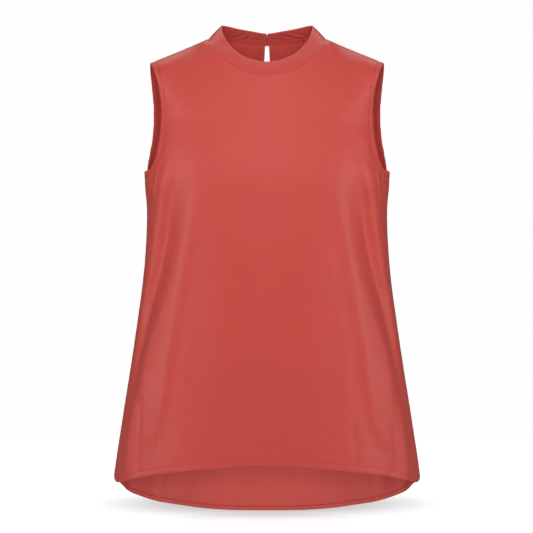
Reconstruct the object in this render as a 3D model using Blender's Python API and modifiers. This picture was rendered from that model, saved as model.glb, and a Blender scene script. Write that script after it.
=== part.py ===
"""Sleeveless tunic with a band collar, bound armholes, a keyhole at the back and a hem that drops behind.

Metres, +Z up. The origin is midway between the two neck points, where the collar meets the shoulder
seams, and the front faces -Y. Tables and sizes are in millimetres, and MM turns them into metres.
"""

import math
from collections import namedtuple

import bmesh
import bpy
import numpy as np
from mathutils import Matrix, Vector

MM = 0.001

# Driving sizes
CLOTH = 1.2
COLLAR_THICKNESS = 2.2
BINDING_THICKNESS = 2.0
BINDING_WIDTH = 8.5
SEAM_GAP = 0.3
SEAM_EASE = 0.2
NECK_HALF_WIDTH = 94.0
NECK_FRONT = 83.0
NECK_BACK = 60.5
NECK_FULLNESS = 2.1
COLLAR_TOP_HALF_WIDTH = 73.4
COLLAR_TOP_FRONT = 64.0
COLLAR_TOP_BACK = 43.0
COLLAR_END_GAP = 1.0
COLLAR_FOOT = 1.7
COLLAR_GAP = 0.4
SHOULDER_TIP_X = 178.5
SHOULDER_DROP = 36.5
SHOULDER_SAG = 0.6
MIDDLE_ROLL = 0.6
SHOULDER_ROLL = 1.1
TIP_ROUNDING = 1.5
NECK_TURN = 1.6
EDGE_PULL = 3
KEYHOLE_PULL = 4
CHEST_MIDDLE_LEVEL = -140.0
KEYHOLE_BOTTOM = -106.0
KEYHOLE_END_RADIUS = 11.0
KEYHOLE_BINDING_WIDTH = 6.0
BUTTON_RADIUS = 4.6
BUTTON_THICKNESS = 2.2
SHANK_RADIUS = 1.4
SHANK_HEIGHT = 2.6
BUTTON_FROM_CENTRE = 7.5
BUTTON_CLEARANCE = 0.8
LOOP_RADIUS = 0.6
LOOP_HEIGHT = 1.5
LOOP_TAIL = 5.0
LOOP_SPREAD = 1.6

# Level sections of the body. half is from the centre to the side, depth from the side seams to the
# middle of the front or back, and fullness 2 is an ellipse, with squarer corners above that.
# Above the underarm the armholes cut the sections short.
Ring = namedtuple(
    "Ring", "name level front_half back_half front_depth back_depth front_fullness back_fullness"
)
RINGS = (
    Ring("below hem", -780, 256, 256, 142, 136, 2.00, 2.00),
    Ring("hem", -690, 242, 242, 137, 130, 2.00, 2.00),
    Ring("low hip", -610, 229, 229, 132, 124, 2.05, 2.00),
    Ring("high hip", -482, 210, 210, 127, 115, 2.10, 2.05),
    Ring("waist", -353, 194, 194, 124, 108, 2.15, 2.10),
    Ring("under bust", -270, 188.5, 188.5, 124, 109, 2.20, 2.10),
    Ring("bust", -224, 194, 194, 124, 112, 2.20, 2.10),
    Ring("low chest", -175, 188, 199, 114, 112, 2.15, 2.10),
    Ring("chest", -134, 184, 200, 101, 107, 2.10, 2.10),
    Ring("high chest", -100, 184, 200, 93, 99, 2.10, 2.10),
)

# The neck seam and the collar's top edge, by the angle round the neck from the middle of the front.
NeckRow = namedtuple("NeckRow", "angle seam_level top_level")
NECK = (
    NeckRow(0, -65.5, -43.6),
    NeckRow(30, -53.0, -33.0),
    NeckRow(50, -31.5, -16.5),
    NeckRow(70, -9.4, 4.5),
    NeckRow(90, 0.0, 20.0),
    NeckRow(115, 3.9, 24.0),
    NeckRow(145, 5.2, 19.5),
    NeckRow(180, -2.0, 15.3),
)

# The seam between panel and armhole binding, seen from the front, from shoulder tip to underarm.
ArmholeRow = namedtuple("ArmholeRow", "name front_x front_level back_x back_level")
ARMHOLE = (
    ArmholeRow("tip", SHOULDER_TIP_X, -SHOULDER_DROP, SHOULDER_TIP_X, -SHOULDER_DROP),
    ArmholeRow("top", 169.0, -52.0, 178.2, -50.0),
    ArmholeRow("upper", 163.6, -82.0, 177.6, -80.0),
    ArmholeRow("middle", 161.3, -118.0, 176.2, -115.0),
    ArmholeRow("lower", 162.0, -155.0, 177.0, -150.0),
    ArmholeRow("turn", 167.0, -186.0, 181.5, -180.0),
    ArmholeRow("scoop", 174.5, -203.0, 187.5, -200.0),
    ArmholeRow("floor", 184.5, -217.0, 192.5, -216.0),
    ArmholeRow("underarm", 194.0, -224.5, 194.0, -224.5),
)
MIDDLE_ROW = 3

# Hem height by the share of the way from the middle of the front or back to the side seam.
HemRow = namedtuple("HemRow", "share front_level back_level")
HEM = (
    HemRow(0.00, -665.5, -774.0),
    HemRow(0.20, -671.0, -771.5),
    HemRow(0.40, -679.5, -762.0),
    HemRow(0.60, -688.5, -744.0),
    HemRow(0.75, -700.0, -727.0),
    HemRow(0.87, -707.0, -709.0),
    HemRow(1.00, -694.0, -694.0),
)

# Half the width of the gap in the back panel that the keyhole's binding fills, above its round end.
KeyholeRow = namedtuple("KeyholeRow", "level half_width")
KEYHOLE = (KeyholeRow(-95, 11.0), KeyholeRow(-60, 12.0), KeyholeRow(-27, 10.8), KeyholeRow(0, 9.2))
KEYHOLE_LEVELS = (-106.0, -104.5, -100.5, -95.0, -70.0, -38.0, -5.0, -2.0)

# The largest folds. reach is how far round the cloth from the middle, at the fold's top and foot, and
# depth is outwards for a ridge and inwards, negative, for a trough.
Fold = namedtuple("Fold", "name top foot top_reach foot_reach width depth")
FRONT_FOLDS = (
    Fold("bust drape, inner ridge", -150, -760, 102, 211, 26, 2.2),
    Fold("bust drape, trough", -175, -600, 130, 262, 40, -4.5),
    Fold("bust drape, outer ridge", -150, -510, 152, 270, 36, 3.6),
    Fold("hip flare", -470, -800, 196, 295, 30, 5.0),
)
BACK_FOLDS = (
    Fold("shoulder blade drape", -190, -840, 112, 150, 32, 5.0),
    Fold("back trough", -230, -840, 156, 205, 30, -8.0),
    Fold("back side flare", -420, -820, 215, 250, 32, 5.0),
)
SIDE_SEAM_CALM = 26.0
FOLD_FADE = 0.25

# Grid sizes
NECK_COLUMNS = 8
SHOULDER_COLUMNS = 9
SKIRT_ROWS = 13
CHEST_ROWS = 7
UNDERARM_CROWDING = 1.7
SHOULDER_ROWS = 6
SEAM_SHARE = 0.03
SLOPE_STEP = 0.2
FINE = 160

CLOTH_RED = (0.545, 0.085, 0.068, 1.0)
BUTTON_RED = (0.40, 0.055, 0.045, 1.0)

Half = namedtuple("Half", "side sign neck_start lean folds")
FRONT = Half("front", -1, 0, 15, FRONT_FOLDS)
BACK = Half("back", 1, 180, 25, BACK_FOLDS)


def column(rows, name):
    return np.array([getattr(row, name) for row in rows], float)


def smooth(xs, ys, at, flat=()):
    """A smooth curve through the points (xs, ys), read at the given places. xs increases.

    flat names the ends, 0 or -1, where the curve meets its own mirror image, so that it has no slope.
    """
    at = np.clip(np.asarray(at, float), xs[0], xs[-1])
    slopes = np.gradient(ys, xs)
    slopes[list(flat)] = 0
    i = np.clip(np.searchsorted(xs, at, side="right") - 1, 0, len(xs) - 2)
    step = xs[i + 1] - xs[i]
    t = (at - xs[i]) / step
    value = ys[i] * (1 + 2 * t) * (1 - t) ** 2 + ys[i + 1] * t * t * (3 - 2 * t)
    return value + step * (slopes[i] * t * (1 - t) ** 2 - slopes[i + 1] * t * t * (1 - t))


def length_along(points):
    steps = np.linalg.norm(np.diff(points, axis=0), axis=1)
    return np.concatenate([[0], np.cumsum(steps)])


def spaced(points, shares):
    """Points at these shares of the length of a fine run of points."""
    along = length_along(points)
    wanted = np.asarray(shares) * along[-1]
    return np.stack([np.interp(wanted, along, points[:, k]) for k in range(3)], axis=1)


def unit(vectors):
    return vectors / np.linalg.norm(vectors, axis=-1, keepdims=True)


def ring(half, value, level):
    """One of the body's sizes at this height."""
    return smooth(column(RINGS, "level"), column(RINGS, half.side + "_" + value), level)


def on_ring(half, x, level):
    """The body's surface at this distance from the middle and this height."""
    fullness = ring(half, "fullness", level)
    across = np.clip(x / ring(half, "half", level), 0, 1)
    y = half.sign * ring(half, "depth", level) * (1 - across**fullness) ** (1 / fullness)
    return np.stack([x, y, level], axis=-1)


def neck_curve(angles, half_width, front, back, levels):
    """Points round the neck, by their angles in degrees from the middle of the front."""
    turn = np.radians(angles)
    ahead = np.cos(turn)
    power = 2 / NECK_FULLNESS
    x = half_width * np.sign(np.sin(turn)) * np.abs(np.sin(turn)) ** power
    y = -np.sign(ahead) * np.where(ahead > 0, front, back) * np.abs(ahead) ** power
    level = smooth(column(NECK, "angle"), column(NECK, levels), np.abs(angles), flat=(0, -1))
    return np.stack([x, y, level], axis=-1)


def neck_seam(angles):
    return neck_curve(angles, NECK_HALF_WIDTH, NECK_FRONT, NECK_BACK, "seam_level")


def collar_top(angles):
    return neck_curve(
        angles, COLLAR_TOP_HALF_WIDTH, COLLAR_TOP_FRONT, COLLAR_TOP_BACK, "top_level"
    )


def keyhole_half_width(level):
    """Half the gap in the back panel at this height, with its lower end a half circle."""
    end_centre = KEYHOLE_BOTTOM + KEYHOLE_END_RADIUS
    below = np.clip(end_centre - level, 0, KEYHOLE_END_RADIUS)
    rounded = np.sqrt(KEYHOLE_END_RADIUS**2 - below**2)
    straight = smooth(column(KEYHOLE, "level"), column(KEYHOLE, "half_width"), level)
    return np.where(level < end_centre, rounded, straight)


def ring_row(half, edge_x, edge_level, level, shares):
    """A row of half a panel round the body, from the middle to an edge point."""
    fullness = float(ring(half, "fullness", edge_level))
    end = math.asin(min(1.0, edge_x / float(ring(half, "half", edge_level))) ** (fullness / 2))
    turn = np.linspace(0, end, FINE)
    across = edge_x * (np.sin(turn) / math.sin(end)) ** (2 / fullness)
    levels = np.interp(np.linspace(0, 1, FINE), shares, level)
    widen = ring(half, "half", levels) / ring(half, "half", edge_level)
    widen = widen if edge_x >= float(ring(half, "half", edge_level)) - 1 else 1
    return spaced(on_ring(half, across * widen, levels), shares)


def armhole_seam(half, place):
    """The armhole seam seen from the front. place counts the table's rows, from 0 at the tip."""
    places = np.arange(len(ARMHOLE), dtype=float)
    x = smooth(places, column(ARMHOLE, half.side + "_x"), place)
    level = smooth(places, column(ARMHOLE, half.side + "_level"), place)
    return float(x), float(level)


def neck_angles(half):
    """Angles of the panel's columns round the neck, evenly along the seam to the neck point."""
    angles = np.linspace(half.neck_start, 90, FINE)
    points = neck_seam(angles)
    along = length_along(points)
    first = 0 if half is FRONT else np.interp(KEYHOLE[-1].half_width, points[:, 0], along)
    return np.interp(np.linspace(first, along[-1], NECK_COLUMNS + 1), along, angles)


def top_line(half):
    """The panel's top edge, a point to each column: round the neck, then along the shoulder seam."""
    neck = neck_seam(neck_angles(half))
    along = np.linspace(0, 1, SHOULDER_COLUMNS + 1)[1:, None]
    along = np.insert(along, -1, 1 - SEAM_SHARE, axis=0)
    tip = np.array([SHOULDER_TIP_X, 0, -SHOULDER_DROP])
    shoulder = neck[-1] + (tip - neck[-1]) * along
    shoulder[:, 2] -= SHOULDER_SAG * np.sin(math.pi * along[:, 0])
    return np.concatenate([neck, shoulder])


def column_shares(half):
    """How far along each row the panel's columns stand, from 0 at the middle to 1 at the edge."""
    along = length_along(top_line(half))
    return along / along[-1]


def top_normals(half, around):
    """Which way the cloth faces at its top edge, by the share of the way round the neck to the shoulder."""
    lean = math.radians(half.lean)
    middle = np.array([0, half.sign * math.cos(lean), math.sin(lean)])
    slope = math.atan2(SHOULDER_DROP, SHOULDER_TIP_X - NECK_HALF_WIDTH)
    shoulder = np.array([math.sin(slope), 0, math.cos(slope)])
    blend = np.clip(around, 0, 1)[:, None] ** NECK_TURN
    return unit(middle * (1 - blend) + shoulder * blend)


def chest_row(half, place, shares):
    """A row between the underarm and the middle of the armhole."""
    edge_x, edge_level = armhole_seam(half, place)
    underarm_level = ARMHOLE[-1].front_level
    climb = (len(ARMHOLE) - 1 - place) / (len(ARMHOLE) - 1 - MIDDLE_ROW)
    middle = underarm_level + (CHEST_MIDDLE_LEVEL - underarm_level) * climb
    level = middle + (edge_level - middle) * np.asarray(shares) ** 2
    return ring_row(half, edge_x, edge_level, level, shares)


def shoulder_patch(half, shares):
    """The cloth between the middle of the armhole and the top edge, as a function of the climb up it."""
    base = chest_row(half, MIDDLE_ROW, shares)
    below = chest_row(half, MIDDLE_ROW + SLOPE_STEP, shares)
    top = top_line(half)
    neck_share = shares[NECK_COLUMNS]
    normals = top_normals(half, shares / neck_share)
    leave = base - below
    chord = top - base
    arrive = chord - normals * (chord * normals).sum(axis=1, keepdims=True)
    reach = np.linalg.norm(chord, axis=1, keepdims=True)
    leave = unit(leave) * reach
    roll = np.interp(shares, (0, neck_share, 1), (MIDDLE_ROLL, MIDDLE_ROLL, SHOULDER_ROLL))
    arrive = unit(arrive) * reach * roll[:, None]

    def at(climb):
        v = np.broadcast_to(climb, np.shape(shares))[:, None]
        row = base * (1 + 2 * v) * (1 - v) ** 2 + top * v * v * (3 - 2 * v)
        row = row + leave * v * (1 - v) ** 2 - arrive * v * v * (1 - v)
        edge_x, edge_level = armhole_seam(half, MIDDLE_ROW * (1 - float(v[-1, 0])) ** TIP_ROUNDING)
        pull = np.asarray(shares) ** EDGE_PULL
        row[:, 0] += (edge_x - row[-1, 0]) * pull
        row[:, 2] += (edge_level - row[-1, 2]) * pull
        return row

    return at


def shoulder_rows(half, shares):
    patch = shoulder_patch(half, shares)
    if half is FRONT:
        climbs = np.insert(np.linspace(0, 1, SHOULDER_ROWS + 1)[1:], -1, 1 - SEAM_SHARE)
        return [patch(climb) for climb in climbs]
    # The back's rows meet the keyhole's levels at the middle, and are even at the armhole.
    climbs = np.linspace(0, 1, FINE)
    heights = [patch(climb)[0, 2] for climb in climbs]
    middles = np.append(np.interp(KEYHOLE_LEVELS[:-1], heights, climbs), 1)
    edges = np.insert(np.linspace(0, 1, len(middles))[1:], -1, 1 - SEAM_SHARE)
    rows = []
    near = (1 - np.asarray(shares)) ** KEYHOLE_PULL
    for middle, edge, level in zip(middles, edges, KEYHOLE_LEVELS):
        row = patch(edge + (middle - edge) * (1 - np.asarray(shares)) ** 2)
        row[:, 0] += (keyhole_half_width(level) - row[0, 0]) * near
        rows.append(row)
    return rows


def fold_depths(half, reach, level, room):
    """How far the folds move the cloth out, by reach round it, height, and room left to its edge."""
    depth = np.zeros(np.shape(reach))
    for fold in half.folds:
        along = (fold.top - level) / (fold.top - fold.foot)
        path = fold.top_reach + (fold.foot_reach - fold.top_reach) * along
        across = np.clip(np.abs(reach - path) / fold.width, 0, 1)
        fade = np.clip(np.minimum(along, 1 - along) / FOLD_FADE, 0, 1)
        depth += fold.depth * np.cos(across * math.pi / 2) ** 2 * fade * fade * (3 - 2 * fade)
    calm = np.clip(room / SIDE_SEAM_CALM, 0, 1)
    return depth * calm * calm * (3 - 2 * calm)


def cloth_normals(grid):
    """Outward normals of a grid whose rows run from the middle to the side and climb from the hem."""
    across = np.gradient(grid, axis=1)
    up = np.gradient(grid, axis=0)
    normals = np.cross(across, up)
    outwards = np.sign((normals * grid)[..., :2].sum())
    return unit(normals) * outwards


def panel_half(half):
    """Rows and columns of points for half a panel, at x >= 0."""
    shares = column_shares(half)
    hem = smooth(column(HEM, "share"), column(HEM, half.side + "_level"), shares, flat=(0,))
    underarm_x, underarm_level = armhole_seam(half, len(ARMHOLE) - 1)
    rows = []
    for climb in np.linspace(0, 1, SKIRT_ROWS + 1):
        level = hem + (underarm_level - hem) * climb
        edge = float(ring(half, "half", level[-1]))
        rows.append(ring_row(half, edge, float(level[-1]), level, shares))
    underarm = len(ARMHOLE) - 1
    climbs = np.linspace(0, 1, CHEST_ROWS + 1)[1:] ** UNDERARM_CROWDING
    rows += [chest_row(half, underarm - (underarm - MIDDLE_ROW) * climb, shares) for climb in climbs]
    rows += shoulder_rows(half, shares)
    grid = np.array(rows)
    reach = np.array([length_along(row) + row[0, 0] for row in grid])
    room = reach[:, -1:] - reach
    depths = fold_depths(half, reach, grid[..., 2], room)
    return grid + cloth_normals(grid) * depths[..., None]


def ease_seams(half, grid):
    """Draws the side seam and the shoulder seam back, so that front and back stand apart."""
    eased = grid.copy()
    eased[:, :, 1] += np.where(np.abs(eased[:, :, 1]) < SEAM_GAP, half.sign * SEAM_EASE, 0)
    return eased


def new_collection(name):
    collection = bpy.data.collections.new(name)
    bpy.context.scene.collection.children.link(collection)
    return collection


def clear_scene():
    for obj in list(bpy.data.objects):
        bpy.data.objects.remove(obj)


def material(name, colour, roughness):
    made = bpy.data.materials.new(name)
    made.use_nodes = True
    shader = made.node_tree.nodes["Principled BSDF"]
    shader.inputs["Base Color"].default_value = colour
    shader.inputs["Roughness"].default_value = roughness
    shader.inputs["Metallic"].default_value = 0.0
    made.diffuse_color = colour
    return made


def mesh_object(name, mesh, look, collection):
    obj = bpy.data.objects.new(name, mesh)
    mesh.materials.append(look)
    if isinstance(mesh, bpy.types.Mesh):
        mesh.shade_smooth()
    collection.objects.link(obj)
    return obj


def grid_mesh(name, grids, outwards):
    """One open surface from grids of points, welded where they meet and facing outwards."""
    shape = bmesh.new()
    for grid in grids:
        verts = [[shape.verts.new(Vector(point) * MM) for point in row] for row in grid]
        for low, high in zip(verts, verts[1:]):
            for k in range(len(low) - 1):
                shape.faces.new((low[k], low[k + 1], high[k + 1], high[k]))
    bmesh.ops.remove_doubles(shape, verts=shape.verts, dist=1e-6)
    bmesh.ops.recalc_face_normals(shape, faces=shape.faces)
    facing = sum(face.normal.dot(outwards(face.calc_center_median())) for face in shape.faces)
    if facing < 0:
        bmesh.ops.reverse_faces(shape, faces=shape.faces)
    mesh = bpy.data.meshes.new(name)
    shape.to_mesh(mesh)
    shape.free()
    return mesh


def from_axis(point):
    return Vector((point.x, point.y, 0))


def wall(obj, thickness):
    """Gives an open surface its thickness, inwards."""
    solidify = obj.modifiers.new("wall", "SOLIDIFY")
    solidify.thickness = thickness * MM
    solidify.offset = -1.0
    return obj


def mirrored(grid):
    return grid * np.array([-1, 1, 1])


def make_panel(half, look, collection):
    grid = ease_seams(half, panel_half(half))
    name = half.side + "_panel"
    mesh = grid_mesh(name, (grid, mirrored(grid)), from_axis)
    return wall(mesh_object(name, mesh, look, collection), CLOTH)


def neck_normals(half):
    """Which way the panel faces at each of its columns round the neck."""
    return cloth_normals(panel_half(half))[-1, : NECK_COLUMNS + 1]


def collar_rows():
    """Half the band from its foot to its top edge, with the panels' columns and an end at the back.

    The foot runs on in the panels' direction before the band leans in towards the neck.
    """
    end = 180 - math.degrees(COLLAR_END_GAP / NECK_HALF_WIDTH)
    front, back = neck_normals(FRONT), neck_normals(BACK)[::-1]
    angles = np.concatenate([neck_angles(FRONT), neck_angles(BACK)[-2::-1], [end]])
    normals = np.concatenate([front[:-1], front[-1:] + back[:1], back[1:], back[-1:]])
    seam, top = neck_seam(angles), collar_top(angles)
    onwards = unit(np.cross(unit(normals), unit(np.gradient(seam, axis=0))))
    foot = seam + onwards * COLLAR_GAP
    turn = seam + onwards * COLLAR_FOOT
    rows = np.array([foot, turn, (turn + top) / 2, top])
    rows[:, 0, 0] = 0
    return rows


def make_collar(look, collection):
    rows = collar_rows()
    mesh = grid_mesh("collar_band", (rows, mirrored(rows)), from_axis)
    return wall(mesh_object("collar_band", mesh, look, collection), COLLAR_THICKNESS)


def strip_along(path, normals, width):
    """A strip beside a path in the cloth, on the side that its left hand points to, a seam's gap away."""
    tangents = unit(np.gradient(path, axis=0))
    aside = unit(np.cross(tangents, normals))
    return np.array([path + aside * SEAM_GAP, path + aside * (SEAM_GAP + width)])


def armhole_edge():
    """The armhole seam on the cloth, up the front from the underarm and down the back, as a closed run."""
    runs = []
    for half in (FRONT, BACK):
        grid = panel_half(half)
        runs.append((grid[SKIRT_ROWS:, -1], cloth_normals(grid)[SKIRT_ROWS:, -1]))
    (up, up_normals), (down, down_normals) = runs
    path = np.concatenate([up, down[-2:0:-1]])
    normals = np.concatenate([up_normals, down_normals[-2:0:-1]])
    normals[0] = unit(up_normals[0] + down_normals[0])
    normals[len(up) - 1] = unit(up_normals[-1] + down_normals[-1])
    return path, normals


def make_armhole_binding(name, sides, look, collection):
    path, normals = armhole_edge()
    # One more point at each end lets the run close smoothly on itself.
    wrapped = np.concatenate([path[-1:], path, path[:2]])
    rows = strip_along(wrapped, np.concatenate([normals[-1:], normals, normals[:2]]), BINDING_WIDTH)
    mesh = grid_mesh(name, (rows[:, 1:-1] * np.array([sides, 1, 1]),), from_axis)
    return wall(mesh_object(name, mesh, look, collection), BINDING_THICKNESS)


def make_keyhole_binding(look, collection):
    grid = panel_half(BACK)
    rows = slice(len(grid) - len(KEYHOLE_LEVELS), None)
    edge, normals = grid[rows, 0], cloth_normals(grid)[rows, 0]
    path = np.concatenate([mirrored(edge[:0:-1]), edge])
    normals = np.concatenate([mirrored(normals[:0:-1]), normals])
    rows = strip_along(path, normals, KEYHOLE_BINDING_WIDTH)
    mesh = grid_mesh("keyhole_binding", (rows,), from_axis)
    return wall(mesh_object("keyhole_binding", mesh, look, collection), BINDING_THICKNESS)


def closure_seat():
    """The frame of the button and its loop: on the collar's outside, between its ends at the back."""
    low, high = (Vector(row) for row in collar_rows()[[1, 3], -1])
    up = (high - low).normalized()
    across = Vector((-1, 0, 0))
    seat = bpy.data.objects.new("closure_seat", None)
    seat.matrix_world = Matrix(np.column_stack([across, up, across.cross(up)])).to_4x4()
    middle = (low + high) / 2
    seat.location = Vector((0, middle.y, middle.z)) * MM
    return seat


def make_button(seat, look, collection):
    """A round button on a shank, turned about the line that stands on the collar."""
    disc = SHANK_HEIGHT + BUTTON_THICKNESS
    profile = (
        (0, disc - 0.3),
        (BUTTON_RADIUS * 0.6, disc - 0.3),
        (BUTTON_RADIUS * 0.75, disc),
        (BUTTON_RADIUS - 0.5, disc),
        (BUTTON_RADIUS, disc - 0.7),
        (BUTTON_RADIUS, SHANK_HEIGHT + 0.6),
        (BUTTON_RADIUS - 0.6, SHANK_HEIGHT),
        (SHANK_RADIUS, SHANK_HEIGHT),
        (SHANK_RADIUS, 0),
        (0, 0),
    )
    mesh = bpy.data.meshes.new("button")
    points = [(x * MM, 0, z * MM) for x, z in profile]
    mesh.from_pydata(points, [(k, k + 1) for k in range(len(points) - 1)], [])
    obj = mesh_object("button", mesh, look, collection)
    screw = obj.modifiers.new("turn", "SCREW")
    screw.steps = screw.render_steps = 24
    screw.use_merge_vertices = True
    screw.merge_threshold = 0.00001
    obj.parent = seat
    obj.location = Vector((BUTTON_FROM_CENTRE, 0, BUTTON_CLEARANCE)) * MM
    return obj


def make_loop(seat, look, collection):
    """A cord loop sewn to the other end of the collar, round the button's shank."""
    turn_radius = SHANK_RADIUS + SEAM_GAP + LOOP_RADIUS
    turn = [math.radians(angle) for angle in range(-110, 111, 20)]
    points = [(-LOOP_TAIL, -LOOP_SPREAD)]
    points += [
        (BUTTON_FROM_CENTRE + turn_radius * math.cos(a), turn_radius * math.sin(a)) for a in turn
    ]
    points += [(-LOOP_TAIL, LOOP_SPREAD)]
    curve = bpy.data.curves.new("button_loop", "CURVE")
    curve.dimensions = "3D"
    curve.bevel_depth = LOOP_RADIUS * MM
    curve.bevel_resolution = 2
    curve.use_fill_caps = True
    spline = curve.splines.new("POLY")
    spline.points.add(len(points) - 1)
    for point, (x, y) in zip(spline.points, points):
        point.co = (x * MM, y * MM, 0, 1)
    obj = mesh_object("button_loop", curve, look, collection)
    obj.parent = seat
    obj.location = Vector((0, 0, LOOP_HEIGHT)) * MM
    return obj


def main():
    clear_scene()
    collection = new_collection("tunic")
    cloth = material("cloth", CLOTH_RED, 0.62)
    make_panel(FRONT, cloth, collection)
    make_panel(BACK, cloth, collection)
    make_collar(cloth, collection)
    make_armhole_binding("armhole_binding_left", 1, cloth, collection)
    make_armhole_binding("armhole_binding_right", -1, cloth, collection)
    make_keyhole_binding(cloth, collection)
    seat = closure_seat()
    collection.objects.link(seat)
    make_button(seat, material("button", BUTTON_RED, 0.3), collection)
    make_loop(seat, cloth, collection)


main()
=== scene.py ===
"""Looks of the tunic: its cloth, seams, turned hems, bindings, closure and light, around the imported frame.

The frame is in metres, and the garment's sizes here are in millimetres. They follow the part's source
to within a few millimetres. The front faces -Y and the wearer's left is +X.
"""

import math
from collections import namedtuple

import bmesh
import bpy
import numpy as np
from mathutils import Matrix, Vector


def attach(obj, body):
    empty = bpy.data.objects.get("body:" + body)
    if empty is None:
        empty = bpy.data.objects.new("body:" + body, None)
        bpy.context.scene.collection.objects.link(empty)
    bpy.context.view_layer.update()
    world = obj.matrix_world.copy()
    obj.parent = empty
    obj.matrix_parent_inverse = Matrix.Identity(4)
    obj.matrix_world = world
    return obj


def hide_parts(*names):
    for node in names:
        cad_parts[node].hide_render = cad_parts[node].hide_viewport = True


MM = 0.001
MIRROR = np.array([-1, 1, 1])


def table(kind, *rows):
    """Rows of one named kind."""
    return tuple(kind(*row) for row in rows)


# ---- The garment's sizes ----

SEAM_GAP = 0.3
NECK_HALF_WIDTH = 94.0
NECK_FRONT = 83.0
NECK_BACK = 60.5
NECK_FULLNESS = 2.1
COLLAR_TOP_HALF_WIDTH = 73.4
COLLAR_TOP_FRONT = 64.0
COLLAR_TOP_BACK = 43.0
COLLAR_END_GAP = 0.1
COLLAR_FOOT = 1.7
SHOULDER_TIP_X = 180.0
SHOULDER_DROP = 35.8
SHOULDER_SAG = 0.6
MIDDLE_ROLL = 0.6
SHOULDER_ROLL = 1.1
TIP_ROUNDING = 1.5
NECK_TURN = 1.6
EDGE_PULL = 3
KEYHOLE_PULL = 4
CHEST_MIDDLE_LEVEL = -140.0
KEYHOLE_BOTTOM = -106.0
KEYHOLE_END_RADIUS = 11.0
SLOPE_STEP = 0.2
# A row that ends this near the body's own half width ends at the side seam.
SIDE_SEAM_NEAR = 1
# How many points a finely followed curve has, and how near points are welded, in metres.
FINE = 400
WELD = 1e-6

# Level sections of the body, from below the hem up to the chest: half widths, depths before and behind
# the middle, and how full the corners are.
Ring = namedtuple("Ring", "level front_half back_half front_depth back_depth front_fullness back_fullness")
RINGS = table(
    Ring,
    (-780, 251, 251, 142, 136, 2.00, 2.00),
    (-690, 243.5, 243.5, 137, 130, 2.00, 2.00),
    (-610, 231.5, 231.5, 132, 124, 2.05, 2.00),
    (-482, 211.5, 211.5, 127, 115, 2.10, 2.05),
    (-353, 195, 195, 124, 108, 2.15, 2.10),
    (-270, 192, 192, 124, 109, 2.20, 2.10),
    (-224, 195.2, 195.2, 124, 112, 2.20, 2.10),
    (-175, 189, 202, 114, 112, 2.15, 2.10),
    (-134, 184, 203, 101, 107, 2.10, 2.10),
    (-100, 184, 203, 93, 99, 2.10, 2.10),
)

# Round the neck, by degrees from the middle of the front.
NeckRow = namedtuple("NeckRow", "angle seam_level top_level")
NECK = table(
    NeckRow,
    (0, -65.5, -43.6),
    (30, -53.0, -33.0),
    (50, -31.5, -16.5),
    (70, -9.4, 4.5),
    (90, 0.0, 20.0),
    (115, 3.9, 24.0),
    (145, 6.0, 21.2),
    (163, 2.9, 18.4),
    (180, -2.0, 15.3),
)

# Round the armhole, from the shoulder's tip down to the underarm.
ArmholeRow = namedtuple("ArmholeRow", "front_x front_level back_x back_level")
ARMHOLE = table(
    ArmholeRow,
    (SHOULDER_TIP_X, -SHOULDER_DROP, SHOULDER_TIP_X, -SHOULDER_DROP),
    (170.5, -52.0, 181.0, -50.0),
    (164.6, -82.0, 180.2, -80.0),
    (161.8, -118.0, 178.8, -115.0),
    (163.0, -155.0, 180.8, -150.0),
    (168.5, -186.0, 185.6, -180.0),
    (176.0, -203.0, 190.5, -200.0),
    (185.5, -217.0, 193.6, -216.0),
    (195.2, -224.5, 195.2, -224.5),
)
# The row where the rounded body ends and the shoulder's patch begins.
MIDDLE_ROW = 3

# Along the hem, by the share of the way from the middle to the side seam.
HemRow = namedtuple("HemRow", "share front_level back_level")
HEM = table(
    HemRow,
    (0.00, -665.5, -774.0),
    (0.20, -671.0, -771.5),
    (0.40, -679.5, -761.0),
    (0.60, -690.5, -744.5),
    (0.74, -700.5, -728.5),
    (0.84, -704.0, -714.0),
    (0.92, -701.5, -704.5),
    (1.00, -698.0, -698.0),
)

# Up the slit behind the neck.
KeyholeRow = namedtuple("KeyholeRow", "level half_width")
KEYHOLE = table(KeyholeRow, (-95, 11.0), (-60, 12.0), (-27, 10.8), (0, 9.2))
KEYHOLE_TOP = -2.0

# The folds that the solids hold too, by how far round the cloth they lie at their top and foot. In front
# it is a flare over each hip. Behind they are the drape from the shoulder blades, a trough and a flare.
Fold = namedtuple("Fold", "top foot top_reach foot_reach width depth")
FRONT_FOLDS = table(Fold, (-470, -800, 192, 258, 34, 3.0))
BACK_FOLDS = table(
    Fold,
    (-190, -840, 112, 150, 32, 5.0),
    (-230, -840, 156, 205, 30, -8.0),
    (-420, -820, 215, 250, 32, 5.0),
)
SIDE_SEAM_CALM = 26.0
FOLD_FADE = 0.25

# ---- What the scene adds ----

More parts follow.
